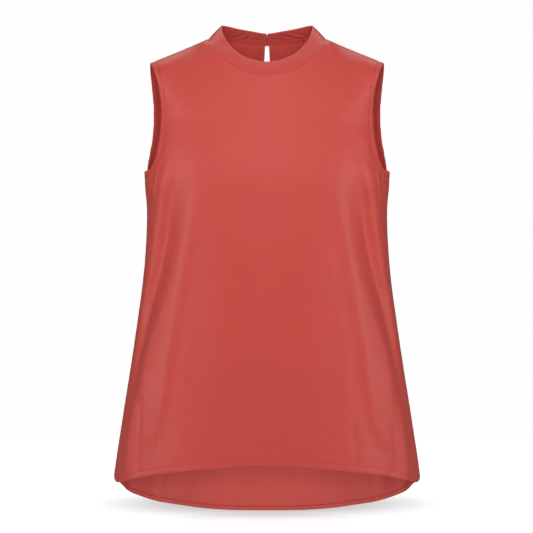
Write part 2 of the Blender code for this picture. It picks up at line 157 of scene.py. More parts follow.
# The drape that hangs from each side of the bust, sharper than in the solids. At each level: how far
# round the cloth its start, crest, brink of the wall, trough, outer ridge and end lie from the middle,
# and how far out the four between are.
DrapeRow = namedtuple(
    "DrapeRow", "level start crest brink trough ridge end crest_out brink_out trough_out ridge_out"
)
DRAPE = table(
    DrapeRow,
    (-670, 190, 222, 244, 268, 284, 304, 0, 0, 0, 0),
    (-611, 158, 184, 212, 250, 272, 300, 3.2, 2.6, 0.4, 0),
    (-570, 148, 173, 205, 238, 260, 292, 4.2, 3.4, -0.4, 0),
    (-524, 140, 167, 203, 231, 249, 284, 4.4, 3.8, -2.8, 0),
    (-477, 132, 161, 191, 221, 239, 276, 4.0, 3.5, -5.6, 0),
    (-430, 122, 151, 169, 209, 229, 268, 3.6, 3.2, -7.6, 0.6),
    (-401, 117, 145, 156, 198, 219, 260, 3.3, 2.9, -8.0, 1.4),
    (-372, 112, 139, 146, 186, 208, 253, 3.1, 2.8, -8.0, 2.2),
    (-337, 106, 131, 136, 175, 198, 246, 2.7, 2.3, -7.7, 3.0),
    (-307, 100, 125, 129, 167, 190, 240, 2.1, 1.8, -7.2, 3.4),
    (-283, 96, 119, 123, 162, 184, 232, 1.5, 1.2, -5.8, 3.4),
    (-260, 92, 112, 116, 157, 179, 222, 0.8, 0.6, -4.4, 3.3),
    (-240, 90, 108, 112, 150, 172, 210, 0.3, 0.2, -3.0, 3.2),
    (-224, 88, 106, 110, 145, 167, 200, 0, 0, -1.6, 2.8),
    (-205, 88, 105, 109, 140, 164, 192, 0, 0, -0.5, 2.4),
    (-180, 88, 105, 110, 136, 162, 184, 0, 0, 0, 1.6),
    (-140, 88, 104, 109, 132, 156, 178, 0, 0, 0, 0),
)
# How softly each stretch from one of those places to the next starts and stops: 0 is a straight slope.
DRAPE_SOFTNESS = (0.75, 0.6, 0.3, 0.45, 0.75)
DRAPE_LEFT = 1.012
DRAPE_CALM = 14.0

# Creases too small for the solids. reach is how far round the cloth from its middle, towards the
# wearer's left where it is positive, and level is the height, at the crease's start, middle and end.
# left and right are how far it spreads to each side of that line, as seen along it from its start.
Crease = namedtuple("Crease", "reach_a level_a reach_b level_b reach_c level_c left right depth")
FRONT_CREASES = table(
    Crease,
    # Drag lines under the arms, their hollows and the puckers at the sides
    (-188, -200, -191, -231, -206, -268, 6, 6, 1.9),
    (-199, -214, -200, -236, -212, -266, 6, 6, -1.0),
    (-214, -230, -206, -233, -196, -243, 5, 6, -0.9),
    (189, -204, 192, -236, 208, -276, 6, 6, 1.7),
    (200, -216, 202, -240, 214, -272, 6, 6, -1.0),
    (220, -232, 209, -238, 199, -247, 6, 6, -1.0),
    # Puckers along the armholes
    (160, -196, 171, -207, 188, -216, 8, 5, -0.7),
    (-162, -193, -173, -206, -187, -214, 5, 8, -0.7),
    (-168, -178, -174, -190, -183, -199, 4, 5, -0.5),
    (167, -174, 173, -184, 181, -196, 5, 4, -0.45),
    # Ridges and hollows over the hips
    (-220, -545, -233, -620, -243, -700, 16, 13, 2.2),
    (224, -560, 232, -630, 240, -712, 15, 14, 1.8),
    (-205, -560, -211, -630, -216, -700, 9, 8, -1.3),
    (207, -590, 212, -650, 217, -705, 8, 9, -1.2),
    (-188, -610, -183, -650, -180, -694, 7, 6, 1.0),
    # The left trough's foot, and the slants and the short upright crease below the chest
    (133, -585, 137, -640, 138, -690, 12, 10, -0.9),
    (-4, -262, 13, -315, 30, -372, 8, 10, -0.55),
    (6, -258, 24, -312, 41, -365, 9, 9, 0.45),
    (-50, -236, -48, -262, -50, -296, 6, 7, -0.45),
    # Wide rolls down the middle, and the hollows of the chest
    (-96, -330, -106, -480, -118, -640, 38, 34, -1.2),
    (84, -360, 92, -500, 104, -655, 34, 40, -1.1),
    (12, -430, 18, -540, 20, -650, 40, 34, 0.9),
    (-118, -112, -124, -150, -132, -186, 16, 20, -0.9),
    (121, -118, 128, -152, 133, -184, 19, 15, -0.8),
)
BACK_CREASES = table(
    Crease,
    # Drag lines from the shoulder blades, and their hollows
    (-182, -170, -176, -214, -192, -280, 11, 9, 1.5),
    (-196, -186, -194, -232, -210, -296, 9, 10, -1.5),
    (184, -176, 180, -222, 196, -296, 10, 10, 1.4),
    (198, -190, 196, -240, 214, -310, 10, 9, -1.3),
    # Slants at the waist, and drag lines at the slit
    (-60, -300, -84, -352, -100, -420, 10, 12, -0.8),
    (44, -322, 72, -380, 92, -452, 11, 9, -0.7),
    (-14, -112, -34, -132, -62, -146, 8, 7, -0.7),
    (15, -114, 32, -130, 52, -150, 7, 9, -0.6),
    # Rolls and hollows down the skirt
    (-8, -380, -14, -520, -10, -720, 42, 36, 1.6),
    (-92, -470, -98, -600, -104, -750, 26, 30, 1.8),
    (-58, -480, -60, -620, -62, -760, 24, 20, -1.6),
    (88, -440, 96, -580, 108, -752, 30, 26, 1.7),
    (52, -500, 56, -630, 60, -764, 22, 22, -1.5),
    (-236, -470, -246, -580, -252, -704, 15, 12, -1.5),
    (238, -500, 245, -600, 250, -706, 13, 14, -1.4),
)
# Drag lines and a crumple in the collar's inner layer at the back, by height up the band and distance
# round from its right end, or back from its left end where that is negative.
COLLAR_CREASES = table(
    Crease,
    (-58, 2, -40, 9, -20, 17, 3.2, 2.6, -1.6),
    (-66, 5, -50, 11, -34, 18, 2.6, 2.8, 1.28),
    (-34, 1, -24, 7, -12, 12, 2.4, 2.2, -1.28),
    (-76, 6, -64, 11, -54, 17, 2.6, 2.2, -1.28),
    (30, 15, 36, 9, 30, 3, 2.4, 2.2, -1.6),
    (36, 14, 42, 9, 38, 3, 2.2, 2.0, 1.44),
    (44, 16, 52, 9, 64, 3, 2.6, 3.0, -1.44),
    (60, 17, 68, 11, 80, 6, 2.4, 2.6, -1.12),
    (12, 12, 20, 8, 26, 2, 2.2, 2.2, -1.12),
)
CREASE_STEPS = 24
CREASE_FADE = 0.3
CREASE_CALM = 6.0

# Uneven waves, as (length, phase) pairs: the cloth's own slight unevenness, and puckers along seams.
ROLLING = ((61, 0.4), (43, 2.1), (97, 5.0), (29, 3.3))
PUCKERS = ((11.3, 0.2), (7.9, 2.7), (17.1, 4.4), (5.7, 1.5))
ROLL_HEIGHT = 0.22
ROLL_CALM = 20.0
# How far each of the two crossed runs of waves leans from upright and from level.
ROLL_LEANS = (1 / 3, -1 / 4)

# The nets' rows and columns, and how the cloth is evened out below the neck point.
NECK_COLUMNS = 36
SHOULDER_COLUMNS = 40
HEM_ROW_STEP = 0.9
HEM_FINE_ROWS = 16
SKIRT_ROWS = 132
CHEST_ROWS = 30
UNDERARM_CROWDING = 1.7
BELOW_KEYHOLE_ROWS = 8
KEYHOLE_END_ROWS = 8
UPPER_ROWS = 28
EDGE_SHARES = (0.988, 0.993, 0.9965, 0.999)
TOP_SHARES = (0.5, 0.8, 0.95)
NECK_POINT_BLUR = 34
NECK_POINT_REACH = 88.0
NECK_POINT_DEPTH = 20.0
NECK_POINT_START = 0.6

# The cloth, its seams and its hems.
CLOTH = 0.5
SEAM_TUCK = 1.0
SEAM_DIP = 0.7
SIDE_SEAM_DIP = 0.4
SEAM_DIP_REACH = 2.0
SEAM_PUCKER = 0.22
TOP_PUCKER = 0.11
SEAM_PUCKER_REACH = 9.0
HEM_LAYER = 0.9
HEM_TURNING_ROWS = 7
HEM_FOLD_STEPS = 5
HEM_GROOVE = 0.22
HEM_GROOVE_REACH = 1.3
HEM_PUFF = 0.12
HEM_PUCKER = 0.16
HEM_PUCKER_REACH = 9.0

# What the two panels have of their own. sign is the way they face, neck_start where their neck edge starts
# in degrees, and lean how far the cloth there leans back.
Half = namedtuple("Half", "side sign neck_start lean folds drape creases hem_turn")
FRONT = Half("front", -1, 0, 15, FRONT_FOLDS, DRAPE, FRONT_CREASES, 9.5)
BACK = Half("back", 1, 180, 25, BACK_FOLDS, (), BACK_CREASES, 7.0)
HEM_STITCH_BACK = 1.0
HEM_STITCH_LIFT = 0.02

# The armhole bindings and the keyhole's facing: one closed section each, by distance from the seam and
# height above the cloth's outside.
BINDING_SECTION = (
    (0.05, -1.1), (0.12, -0.75), (0.3, -0.3), (0.7, 0.08), (1.5, 0.36), (3.0, 0.5), (4.6, 0.46),
    (6.2, 0.3), (7.4, 0.06), (8.2, -0.26), (8.7, -0.72), (8.8, -1.2), (8.5, -1.62), (7.8, -1.9),
    (6.0, -2.0), (4.0, -2.05), (2.0, -2.0), (0.9, -1.9), (0.3, -1.6),
)
FACING_SECTION = (
    (0.05, -0.8), (0.15, -0.4), (0.5, -0.1), (1.2, 0.05), (2.6, 0.12), (4.2, 0.08), (5.3, -0.1),
    (6.0, -0.45), (6.25, -0.95), (5.9, -1.4), (5.0, -1.65), (3.0, -1.7), (1.2, -1.65), (0.4, -1.4),
)
BINDING_POINTS = 260
FACING_POINTS = 150
BINDING_PUCKER = 0.13
# Each binding's name, its side and where along the uneven waves its puckers start.
BINDINGS = (("left", 1, 0.0), ("right", -1, 37.0))
UNDERARM_PUCKER = 0.12
UNDERARM_BLUR = 4
UNDERARM_LEAN = 0.45
FACING_PUCKER = 0.08

# The foot of the band's outer layer and of its inner one, by distance from the seam on up the cloth and
# height above the cloth's outside.
COLLAR_FRONT_FOOT = ((0.05, -1.3), (0.3, -0.75), (0.7, -0.3), (1.2, -0.04))
COLLAR_BACK_FOOT = ((-0.3, -2.3), (-1.1, -2.1), (-1.3, -1.6), (-0.8, -1.1))
COLLAR_ROLL = 1.1
COLLAR_PUFF = 0.45
COLLAR_WAVE = 0.22
COLLAR_RISE_STEPS = 12
COLLAR_ROLL_STEPS = 7
COLLAR_FALL_STEPS = 14
COLLAR_END_COLUMNS = (0.5, 1.0, 1.6, 2.3, 3.2)
COLLAR_END_DROP = 3.6
COLLAR_END_ROUNDING = 3.0

STITCH_LENGTH = 2.2
STITCH_GAP = 0.6
STITCH_RADIUS = 0.17
STITCH_SIDES = 6
# Along a stitch: the share of its length, its height above the cloth and its share of the full radius.
STITCH_PROFILE = ((0, -0.12, 0.5), (0.15, 0.08, 0.95), (0.5, 0.14, 1), (0.85, 0.08, 0.95), (1, -0.12, 0.5))
# Where the facing's stitches run: distance from the slit's edge, and depth below the cloth's outside.
FACING_STITCH_IN = 0.9
FACING_STITCH_DEPTH = 1.75

BUTTON_RADIUS = 4.6
BUTTON_THICKNESS = 2.2
SHANK_RADIUS = 1.4
SHANK_HEIGHT = 2.6
BUTTON_FROM_CENTRE = 7.5
BUTTON_CLEARANCE = 0.8
BUTTON_TURNS = 72
FACE = SHANK_HEIGHT + BUTTON_THICKNESS
# By radius and height, from the middle of its dished face over the rim and down the shank.
BUTTON_PROFILE = (
    (0, FACE - 0.45), (BUTTON_RADIUS * 0.35, FACE - 0.42), (BUTTON_RADIUS * 0.55, FACE - 0.3),
    (BUTTON_RADIUS * 0.68, FACE - 0.06), (BUTTON_RADIUS * 0.78, FACE), (BUTTON_RADIUS - 0.55, FACE - 0.08),
    (BUTTON_RADIUS - 0.2, FACE - 0.32), (BUTTON_RADIUS, FACE - 0.75), (BUTTON_RADIUS, SHANK_HEIGHT + 0.7),
    (BUTTON_RADIUS - 0.25, SHANK_HEIGHT + 0.2), (BUTTON_RADIUS - 0.8, SHANK_HEIGHT),
    (SHANK_RADIUS + 0.4, SHANK_HEIGHT), (SHANK_RADIUS, SHANK_HEIGHT - 0.4), (SHANK_RADIUS, 0), (0, 0),
)
LOOP_RADIUS = 0.6
LOOP_HEIGHT = 1.5
LOOP_TAIL = 5.0
LOOP_TAIL_HEIGHT = 0.24
LOOP_SPREAD = 1.6
LOOP_TURN = 110
LOOP_TURN_POINTS = 25
LOOP_POINTS = 160
PLY_RADIUS = 0.336
PLY_TURN_LENGTH = 2.6
PLY_SIDES = 8


# ---- Curves and surfaces ----


def cubic(start, end, leave, arrive, t):
    """From start to end as t goes from 0 to 1, with the slopes leave and arrive at the two."""
    ends = start * (1 + 2 * t) * (1 - t) ** 2 + end * t * t * (3 - 2 * t)
    return ends + leave * t * (1 - t) ** 2 - arrive * t * t * (1 - t)


def smooth(xs, ys, at, flat=()):
    """A smooth curve through the points (xs, ys), read at the given places. xs increases.

    flat names the ends, 0 or -1, where the curve meets its own mirror image, so that it has no slope.
    """
    at = np.clip(np.asarray(at, float), xs[0], xs[-1])
    slopes = np.gradient(ys, xs)
    slopes[list(flat)] = 0
    i = np.clip(np.searchsorted(xs, at, side="right") - 1, 0, len(xs) - 2)
    step = xs[i + 1] - xs[i]
    return cubic(ys[i], ys[i + 1], step * slopes[i], step * slopes[i + 1], (at - xs[i]) / step)


def from_table(rows, value, key, at, flat=()):
    """One column of a table, smoothly, where another column has these values. No key counts the rows."""
    keys = np.arange(len(rows)) if key is None else [getattr(row, key) for row in rows]
    return smooth(np.array(keys, float), np.array([getattr(row, value) for row in rows], float), at, flat)


def length_along(points):
    steps = np.linalg.norm(np.diff(points, axis=0), axis=1)
    return np.concatenate([[0], np.cumsum(steps)])


def at_lengths(points, along, wanted):
    return np.stack([np.interp(wanted, along, points[:, k]) for k in range(points.shape[1])], axis=1)


def spaced(points, shares):
    """Points at these shares of the length of a fine run of points."""
    along = length_along(points)
    return at_lengths(points, along, np.asarray(shares) * along[-1])


def unit(vectors):
    return vectors / np.linalg.norm(vectors, axis=-1, keepdims=True)


def full_turn(steps):
    """Angles evenly round a circle."""
    return np.arange(steps) * 2 * math.pi / steps


def eased(t):
    """A smooth step from 0 to 1 as t goes from 0 to 1."""
    t = np.clip(t, 0, 1)
    return t * t * (3 - 2 * t)


def waves(places, parts):
    """An uneven wave, between about -1 and 1."""
    return sum(np.sin(2 * math.pi * places / length + phase) for length, phase in parts) / 2


def hump(distance, width):
    """A soft hump, 1 at no distance and 0 from this width on."""
    return np.cos(np.clip(distance / width, 0, 1) * math.pi / 2) ** 2


def bell(distance, reach):
    """1 at no distance, falling away over about this reach."""
    return np.exp(-((distance / reach) ** 2))


def blur_window(spread):
    """The shares in which a place and its neighbours on each side are averaged."""
    window = hump(np.abs(np.linspace(-1, 1, 2 * spread + 3)[1:-1]), 1)
    return window / window.sum()


def ring(half, value, level):
    """One of the body's sizes at this height."""
    return from_table(RINGS, half.side + "_" + value, "level", level)


def on_ring(half, x, level):
    """The body's surface at this distance from the middle and this height."""
    fullness = ring(half, "fullness", level)
    across = np.clip(x / ring(half, "half", level), 0, 1)
    y = half.sign * ring(half, "depth", level) * (1 - across**fullness) ** (1 / fullness)
    return np.stack([x, y, level], axis=-1)


def neck_curve(angles, half_width, front, back, levels):
    """Points round the neck, by their angles in degrees from the middle of the front."""
    turn = np.radians(angles)
    ahead = np.cos(turn)
    power = 2 / NECK_FULLNESS
    x = half_width * np.sign(np.sin(turn)) * np.abs(np.sin(turn)) ** power
    y = -np.sign(ahead) * np.where(ahead > 0, front, back) * np.abs(ahead) ** power
    level = from_table(NECK, levels, "angle", np.abs(angles), flat=(0, -1))
    return np.stack([x, y, level], axis=-1)


def neck_seam(angles):
    return neck_curve(angles, NECK_HALF_WIDTH, NECK_FRONT, NECK_BACK, "seam_level")


def collar_top(angles):
    return neck_curve(angles, COLLAR_TOP_HALF_WIDTH, COLLAR_TOP_FRONT, COLLAR_TOP_BACK, "top_level")


def keyhole_half_width(level):
    """Half the gap in the back panel at this height, with its lower end a half circle."""
    end_centre = KEYHOLE_BOTTOM + KEYHOLE_END_RADIUS
    below = np.clip(end_centre - level, 0, KEYHOLE_END_RADIUS)
    rounded = np.sqrt(KEYHOLE_END_RADIUS**2 - below**2)
    straight = from_table(KEYHOLE, "half_width", "level", level)
    return np.where(level < end_centre, rounded, straight)


def ring_row(half, edge_x, edge_level, level, shares):
    """A row of half a panel round the body, from the middle to an edge point."""
    fullness = float(ring(half, "fullness", edge_level))
    edge_half = float(ring(half, "half", edge_level))
    end = math.asin(min(1.0, edge_x / edge_half) ** (fullness / 2))
    turn = np.linspace(0, end, FINE)
    across = edge_x * (np.sin(turn) / math.sin(end)) ** (2 / fullness)
    levels = np.interp(np.linspace(0, 1, FINE), shares, level)
    if edge_x >= edge_half - SIDE_SEAM_NEAR:
        across = across * ring(half, "half", levels) / edge_half
    return spaced(on_ring(half, across, levels), shares)


def armhole_seam(half, place):
    """The armhole seam seen from the front. place counts the table's rows, from 0 at the tip."""
    return [float(from_table(ARMHOLE, half.side + value, None, place)) for value in ("_x", "_level")]


def neck_angles(half):
    """Angles of the panel's columns round the neck, evenly along the seam to the neck point."""
    angles = np.linspace(half.neck_start, 90, FINE)
    points = neck_seam(angles)
    along = length_along(points)
    first = 0 if half is FRONT else np.interp(KEYHOLE[-1].half_width, points[:, 0], along)
    return np.interp(np.linspace(first, along[-1], NECK_COLUMNS + 1), along, angles)


def top_line(half):
    """The panel's top edge, a point to each column: round the neck, then along the shoulder seam."""
    neck = neck_seam(neck_angles(half))
    along = np.linspace(0, 1, SHOULDER_COLUMNS + 1)[1:, None]
    tip = np.array([SHOULDER_TIP_X, 0, -SHOULDER_DROP])
    shoulder = neck[-1] + (tip - neck[-1]) * along
    shoulder[:, 2] -= SHOULDER_SAG * np.sin(math.pi * along[:, 0])
    return np.concatenate([neck, shoulder])


def column_shares(half):
    """How far along each row the panel's columns stand, from 0 at the middle to 1 at the edge."""
    along = length_along(top_line(half))
    return along / along[-1]


def top_normals(half, around):
    """Which way the cloth faces at its top edge, by the share of the way round the neck to the shoulder."""
    lean = math.radians(half.lean)
    middle = np.array([0, half.sign * math.cos(lean), math.sin(lean)])
    slope = math.atan2(SHOULDER_DROP, SHOULDER_TIP_X - NECK_HALF_WIDTH)
    shoulder = np.array([math.sin(slope), 0, math.cos(slope)])
    blend = eased(np.clip(around, 0, 1) ** NECK_TURN)[:, None]
    return unit(middle * (1 - blend) + shoulder * blend)


def chest_row(half, place, shares):
    """A row between the underarm and the middle of the armhole."""
    edge_x, edge_level = armhole_seam(half, place)
    underarm_level = ARMHOLE[-1].front_level
    climb = (len(ARMHOLE) - 1 - place) / (len(ARMHOLE) - 1 - MIDDLE_ROW)
    middle = underarm_level + (CHEST_MIDDLE_LEVEL - underarm_level) * climb ** (1 / UNDERARM_CROWDING)
    level = middle + (edge_level - middle) * np.asarray(shares) ** 2
    return ring_row(half, edge_x, edge_level, level, shares)


def shoulder_patch(half, shares):
    """The cloth between the middle of the armhole and the top edge, as a function of the climb up it."""
    base = chest_row(half, MIDDLE_ROW, shares)
    below = chest_row(half, MIDDLE_ROW + SLOPE_STEP, shares)
    top = top_line(half)
    neck_share = shares[NECK_COLUMNS]
    normals = top_normals(half, shares / neck_share)
    chord = top - base
    arrive = chord - normals * (chord * normals).sum(axis=1, keepdims=True)
    reach = np.linalg.norm(chord, axis=1, keepdims=True)
    leave = unit(base - below) * reach
    roll = MIDDLE_ROLL + (SHOULDER_ROLL - MIDDLE_ROLL) * eased((shares - neck_share) / (1 - neck_share))
    arrive = unit(arrive) * reach * roll[:, None]

    def at(climb):
        climb = np.broadcast_to(climb, np.shape(shares))
        row = cubic(base, top, leave, arrive, climb[:, None])
        edge_x, edge_level = armhole_seam(half, MIDDLE_ROW * (1 - climb[-1]) ** TIP_ROUNDING)
        pull = np.asarray(shares) ** EDGE_PULL
        row[:, 0] += (edge_x - row[-1, 0]) * pull
        row[:, 2] += (edge_level - row[-1, 2]) * pull
        return row

    return at


def shoulder_rows(half, shares):
    patch = shoulder_patch(half, shares)
    row_count = BELOW_KEYHOLE_ROWS + KEYHOLE_END_ROWS + UPPER_ROWS
    edges = np.linspace(0, 1, row_count + 1)[1:]
    if half is FRONT:
        return [patch(climb) for climb in edges]
    # The back's rows crowd round the keyhole's lower end at the middle, and are even at the armhole.
    climbs = np.linspace(0, 1, FINE)
    heights = [patch(climb)[0, 2] for climb in climbs]
    end_turn = np.linspace(0, math.pi / 2, KEYHOLE_END_ROWS + 1)[1:]
    end_top = KEYHOLE_BOTTOM + KEYHOLE_END_RADIUS
    below = np.linspace(CHEST_MIDDLE_LEVEL, KEYHOLE_BOTTOM, BELOW_KEYHOLE_ROWS + 1)[1:]
    above = np.linspace(end_top, KEYHOLE_TOP, UPPER_ROWS + 1)[1:]
    levels = np.concatenate([below, end_top - KEYHOLE_END_RADIUS * np.cos(end_turn), above])
    middles = np.interp(levels, heights, climbs)
    middles[-1] = 1
    rows = []
    near = (1 - shares) ** KEYHOLE_PULL
    for middle, edge, level in zip(middles, edges, levels):
        row = patch(edge + (middle - edge) * (1 - shares) ** 2)
        gap = keyhole_half_width(level) if level > KEYHOLE_BOTTOM else 0
        row[:, 0] += (gap - row[0, 0]) * near
        rows.append(row)
    return rows


def skirt_climbs(height):
    """Shares of the way up the skirt, close together over the hem's turning."""
    fine = np.arange(HEM_FINE_ROWS) * HEM_ROW_STEP / height
    coarse = np.linspace(fine[-1], 1, SKIRT_ROWS - HEM_FINE_ROWS + 2)[1:]
    return np.concatenate([fine, coarse])


def base_half(half):
    """Rows and columns of points for half a panel with no folds, at x >= 0, from the hem up."""
    shares = column_shares(half)
    hem = from_table(HEM, half.side + "_level", "share", shares, flat=(0,))
    underarm = len(ARMHOLE) - 1
    underarm_level = armhole_seam(half, underarm)[1]
    rows = []
    for climb in skirt_climbs(underarm_level - hem.mean()):
        level = hem + (underarm_level - hem) * climb
        edge = float(ring(half, "half", level[-1]))
        rows.append(ring_row(half, edge, float(level[-1]), level, shares))
    climbs = np.linspace(0, 1, CHEST_ROWS + 1)[1:] ** UNDERARM_CROWDING
    rows += [chest_row(half, underarm - (underarm - MIDDLE_ROW) * climb, shares) for climb in climbs]
    rows += shoulder_rows(half, shares)
    top = [rows[-2] + (rows[-1] - rows[-2]) * share for share in TOP_SHARES]
    grid = np.array(rows[:-1] + top + rows[-1:])
    soften_neck_point(grid[SKIRT_ROWS + CHEST_ROWS :])
    wanted = np.unique(np.concatenate([shares, EDGE_SHARES]))
    return np.array([at_lengths(row, shares, wanted) for row in grid])


def soften_neck_point(grid):
    """Takes the fold out of the cloth below the neck point, where the top edge turns along the shoulder."""
    window = blur_window(NECK_POINT_BLUR)
    even = np.arange(-NECK_POINT_BLUR, SHOULDER_TIP_X + NECK_POINT_BLUR)
    below_top = np.linalg.norm(grid - grid[-1], axis=-1)
    climb = np.linspace(0, 1, len(grid))
    for row, below, start in zip(grid, below_top, eased(climb / NECK_POINT_START)):
        depth = np.interp(np.abs(even), row[:, 0], row[:, 1])
        smoothed = np.convolve(depth, window, mode="same")
        aside = np.abs(row[:, 0] - row[NECK_COLUMNS, 0]) / NECK_POINT_REACH
        share = start * eased(below / NECK_POINT_DEPTH) * eased(2 - 2 * aside)
        row[:, 1] += np.interp(row[:, 0], even, smoothed - depth) * share


def blurred(run, spread):
    """A closed run of points or directions, each one averaged with its neighbours."""
    return sum(share * np.roll(run, k - spread, axis=0) for k, share in enumerate(blur_window(spread)))


def cloth_normals(grid, sign):
    """Outward normals of a grid whose rows run from the wearer's right to the left and climb."""
    across = np.gradient(grid, axis=1)
    up = np.gradient(grid, axis=0)
    return unit(np.cross(across, up)) * -sign


def main_folds(half, reach, level, room):
    """How far the solids' own folds move the cloth out."""
    depth = np.zeros(np.shape(reach))
    for fold in half.folds:
        along = (fold.top - level) / (fold.top - fold.foot)
        path = fold.top_reach + (fold.foot_reach - fold.top_reach) * along
        fade = eased(np.minimum(along, 1 - along) / FOLD_FADE)
        depth += fold.depth * hump(np.abs(np.abs(reach) - path), fold.width) * fade
    return depth * eased(room / SIDE_SEAM_CALM)


def drape_depth(rows, reach, level):
    """How far the drape from the bust moves the cloth out, with a steep wall between crest and trough."""
    aside = np.abs(reach) * np.where(reach > 0, DRAPE_LEFT, 1)
    middle = ("crest", "brink", "trough", "ridge")
    places = [from_table(rows, name, "level", level) for name in ("start", *middle, "end")]
    outs = [0, *(from_table(rows, name + "_out", "level", level) for name in middle), 0]
    depth = np.zeros(np.shape(reach))
    for near, far, near_out, far_out, soft in zip(places, places[1:], outs, outs[1:], DRAPE_SOFTNESS):
        t = np.clip((aside - near) / (far - near), 0, 1)
        depth += (far_out - near_out) * (t - soft * np.sin(2 * math.pi * t) / (2 * math.pi))
    return depth


def crease_depth(crease, reach, level):
    """One crease's part of the depth: a soft ridge or trough along a bent line in the cloth."""
    start, middle, end = np.array(crease[:6]).reshape(3, 2)
    t = np.linspace(0, 1, CREASE_STEPS)[:, None]
    bend = 2 * middle - (start + end) / 2
    line = start * (1 - t) ** 2 + 2 * bend * t * (1 - t) + end * t * t
    nearest = np.full(np.shape(reach), np.inf)
    side = np.zeros(np.shape(reach))
    along = np.zeros(np.shape(reach))
    for k, (low, step) in enumerate(zip(line, np.diff(line, axis=0))):
        from_low = (reach - low[0], level - low[1])
        share = np.clip((from_low[0] * step[0] + from_low[1] * step[1]) / (step @ step), 0, 1)
        off = (from_low[0] - share * step[0], from_low[1] - share * step[1])
        distance = np.hypot(*off)
        nearer = distance < nearest
        nearest = np.where(nearer, distance, nearest)
        side = np.where(nearer, step[0] * off[1] - step[1] * off[0], side)
        along = np.where(nearer, (k + share) / (CREASE_STEPS - 1), along)
    profile = hump(nearest, np.where(side > 0, crease.left, crease.right))
    return crease.depth * profile * eased(along / CREASE_FADE) * eased((1 - along) / CREASE_FADE)


# A panel's net from its hem up, with its outward normals, how far round each point is from the middle
# and how far up from the hem.
Panel = namedtuple("Panel", "half grid normals reach rise")


def panel_surface(half):
    """The whole panel's outside, with its folds, from the wearer's right to the left."""
    left = base_half(half)
    grid = np.concatenate([left[:, ::-1] * MIRROR, left], axis=1)
    reach = np.array([length_along(row) + row[0, 0] for row in left])
    room = reach[:, -1:] - reach
    room = np.concatenate([room[:, ::-1], room], axis=1)
    reach = np.concatenate([-reach[:, ::-1], reach], axis=1)
    level = grid[..., 2]
    below_top = np.linalg.norm(grid - grid[-1], axis=-1)
    steps = np.linalg.norm(np.diff(grid, axis=0), axis=-1)
    rise = np.concatenate([np.zeros((1, grid.shape[1])), np.cumsum(steps, axis=0)])

    depth = main_folds(half, reach, level, room)
    if half.drape:
        depth += drape_depth(half.drape, reach, level) * eased(room / DRAPE_CALM)
    for crease in half.creases:
        depth += crease_depth(crease, reach, level) * eased(room / CREASE_CALM)
    calm = eased(room / ROLL_CALM) * eased(below_top / ROLL_CALM)
    upright = reach + level * ROLL_LEANS[0]
    flat = level + reach * ROLL_LEANS[1]
    depth += ROLL_HEIGHT * waves(upright, ROLLING) * waves(flat, ROLLING) * calm
    depth -= SIDE_SEAM_DIP * bell(room, SEAM_DIP_REACH)
    depth -= SEAM_DIP * bell(below_top, SEAM_DIP_REACH)
    depth += SEAM_PUCKER * waves(level, PUCKERS) * bell(room, SEAM_PUCKER_REACH)
    depth += TOP_PUCKER * waves(reach, PUCKERS) * bell(below_top, SEAM_PUCKER_REACH)
    stitch = half.hem_turn - HEM_STITCH_BACK
    depth -= HEM_GROOVE * bell(rise - stitch, HEM_GROOVE_REACH)
    depth += HEM_PUFF * bell(rise - stitch / 2, stitch / 3)
    depth += HEM_PUCKER * waves(reach, PUCKERS) * bell(rise - stitch, HEM_PUCKER_REACH)

    grid = grid + middle_shared(left, cloth_normals(grid, half.sign)) * depth[..., None]
    return Panel(half, grid, middle_shared(left, cloth_normals(grid, half.sign)), reach, rise)


def middle_shared(left, normals):
    """The same normals, with one direction for the two columns wherever they meet in the panel's middle."""
    middle = normals.shape[1] // 2
    together = left[:, 0, 0] == 0
    shared = unit(normals[together, middle - 1] + normals[together, middle])
    normals[together, middle - 1] = shared
    normals[together, middle] = shared
    return normals


# ---- Meshes ----


def grid_faces(rows, columns, wrap_rows=False, wrap_columns=False):
    """The four-cornered faces of a net of points, joined to its start where it wraps."""
    faces = []
    for r in range(rows if wrap_rows else rows - 1):
        low, high = r * columns, (r + 1) % rows * columns
        for c in range(columns if wrap_columns else columns - 1):
            d = (c + 1) % columns
            faces.append((low + c, low + d, high + d, high + c))
    return faces


def tube_faces(rings, sides, first=0):
    """The faces of a closed tube of rings, with its two ends. Its points are numbered from first."""
    last = (rings - 1) * sides
    ends = [tuple(range(sides)), tuple(range(last, last + sides))]
    faces = grid_faces(rings, sides, wrap_columns=True) + ends
    return [tuple(k + first for k in face) for face in faces]


def finish_mesh(mesh, is_open):
    """Welds what meets and turns the faces out: out of a closed body, or away from the upright axis."""
    shape = bmesh.new()
    shape.from_mesh(mesh)
    bmesh.ops.remove_doubles(shape, verts=shape.verts, dist=WELD)
    bmesh.ops.recalc_face_normals(shape, faces=shape.faces)
    if is_open and sum(face.normal.xy @ face.calc_center_median().xy for face in shape.faces) < 0:
        bmesh.ops.reverse_faces(shape, faces=shape.faces)
    shape.to_mesh(mesh)
    shape.free()


def new_object(name, data):
    obj = bpy.data.objects.new(name, data)
    bpy.context.scene.collection.objects.link(obj)
    return obj


def add_piece(name, verts, faces, uvs, look, is_open=False, seat=None):
    """A smooth piece of the tunic from points in millimetres. uvs gives each point's place in the cloth,
    and seat puts in place a piece that is made round its own origin."""
    mesh = bpy.data.meshes.new(name)
    mesh.from_pydata((np.asarray(verts) * MM).tolist(), [], faces)
    layer = mesh.uv_layers.new(name="grain")
    corners = np.empty(len(mesh.loops), int)
    mesh.loops.foreach_get("vertex_index", corners)
    layer.data.foreach_set("uv", (np.asarray(uvs)[corners] * MM).astype(np.float32).ravel())
    mesh.shade_smooth()
    finish_mesh(mesh, is_open)
    if seat is not None:
        mesh.transform(seat)
    mesh.materials.append(look)
    obj = new_object(name, mesh)
    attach(obj, "root")
    return obj


